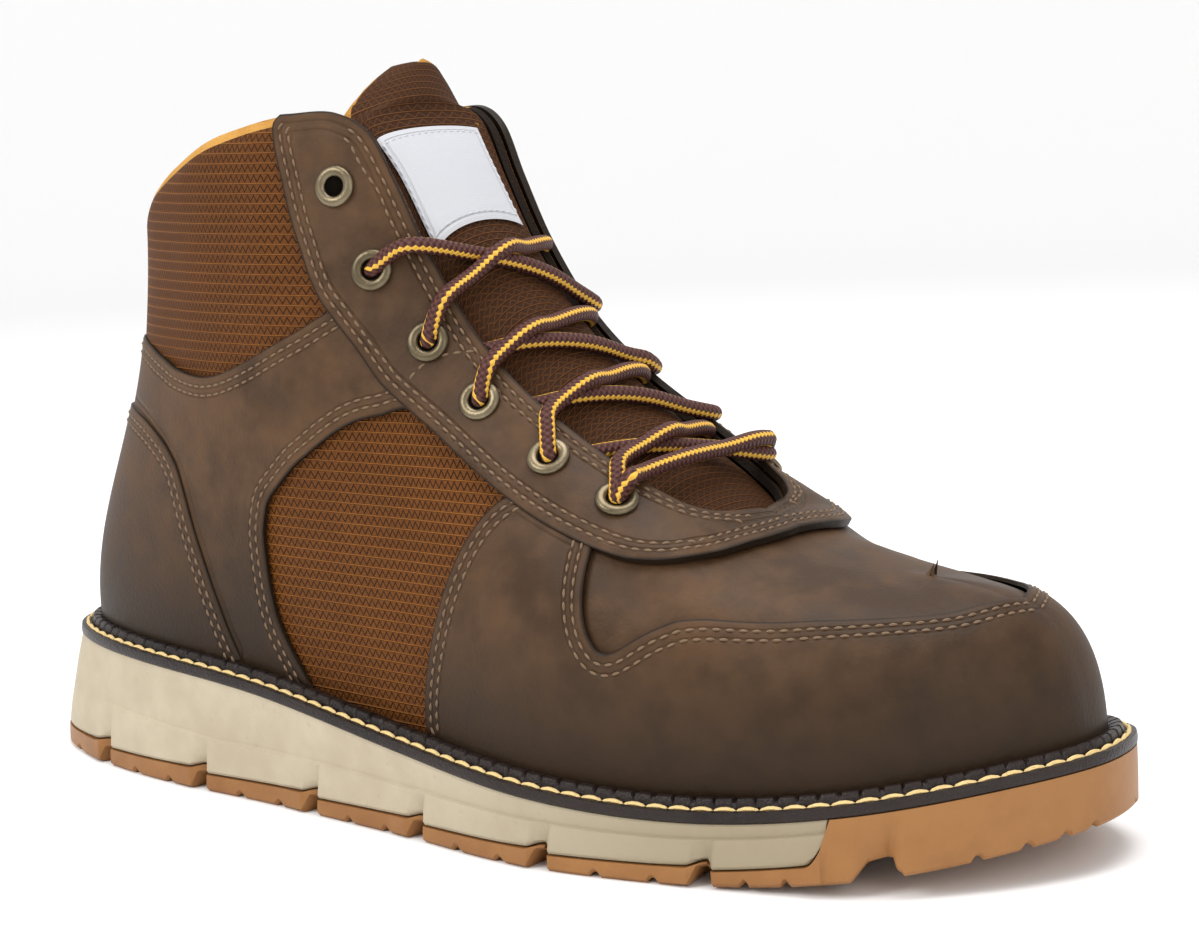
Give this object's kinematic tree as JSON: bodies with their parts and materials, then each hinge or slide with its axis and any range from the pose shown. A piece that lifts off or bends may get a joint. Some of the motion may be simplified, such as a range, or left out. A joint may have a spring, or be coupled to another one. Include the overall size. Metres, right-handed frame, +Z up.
{
  "type": "wedge sole work boot",
  "caption": "Lace-up work boot with a hollow leather and fabric upper, welted wedge sole with side lugs, padded collar, tongue, eyelets and laces.",
  "frame": {"origin": "centre of the bounding box in plan, on the ground under the sole", "axes": "+X heel to toe, +Y to the wearer's left (medial side of this right boot), +Z up"},
  "size_m": [0.3075, 0.1099, 0.1816],
  "materials": {
    "gum_rubber": "satin gum rubber",
    "cream_foam": "matt moulded midsole",
    "dark_welt": "dark stitched welt",
    "footbed": "tan fabric foot bed",
    "ripstop": "brown ripstop fabric",
    "brown_leather": "waxy brown leather",
    "tongue_cloth": "dark brown ribbed fabric",
    "label_cloth": "woven label",
    "antique_brass": "antique brass",
    "lace_cord": "braided lace, maroon and gold"
  },
  "bodies": {
    "root": {"outsole": "gum_rubber", "midsole": "cream_foam", "welt": "dark_welt", "insole": "footbed", "upper": "ripstop", "toe_overlay": "brown_leather", "quarter_band": "brown_leather", "heel_counter": "brown_leather", "eyestay": "brown_leather", "tongue": "tongue_cloth", "tongue_label": "label_cloth", "eyelet_lateral_1": "antique_brass", "eyelet_lateral_2": "antique_brass", "eyelet_lateral_3": "antique_brass", "eyelet_lateral_4": "antique_brass", "eyelet_lateral_5": "antique_brass", "eyelet_lateral_6": "antique_brass", "eyelet_medial_1": "antique_brass", "eyelet_medial_2": "antique_brass", "eyelet_medial_3": "antique_brass", "eyelet_medial_4": "antique_brass", "eyelet_medial_5": "antique_brass", "eyelet_medial_6": "antique_brass", "lace_bar": "lace_cord", "lace_cross_1": "lace_cord", "lace_cross_2": "lace_cord", "lace_cross_3": "lace_cord", "lace_cross_4": "lace_cord"}
  },
  "joints": []
}
